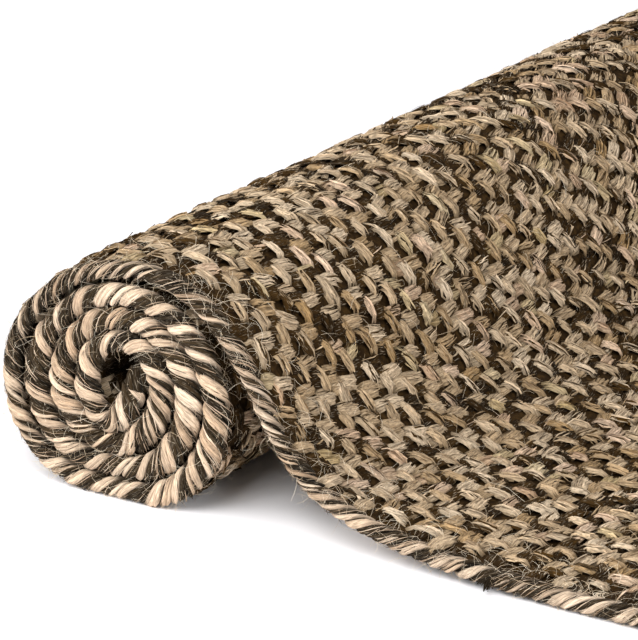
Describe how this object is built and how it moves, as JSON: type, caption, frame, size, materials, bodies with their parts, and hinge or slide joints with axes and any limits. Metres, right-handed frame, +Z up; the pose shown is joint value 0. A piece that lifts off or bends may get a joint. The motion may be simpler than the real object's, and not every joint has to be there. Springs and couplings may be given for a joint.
{
  "type": "jute rug",
  "caption": "Thick two-tone jute rug, partly rolled: a spiral roll with a corded edge, draping down to a flat run on the floor.",
  "frame": {"origin": "on the floor under the centre of the rug's footprint", "axes": "+X from the roll towards the rug's flat end, +Y along the roll, +Z up from the floor"},
  "size_m": [0.4468, 0.6, 0.1058],
  "materials": {
    "jute_weave": "coarse matt plaited weave of natural and black jute yarn",
    "jute_cord": "matt twisted cord of natural and black jute strands, with stray fibres"
  },
  "bodies": {
    "root": {"woven_field": "jute_weave", "edge_cord": "jute_cord"}
  },
  "joints": []
}
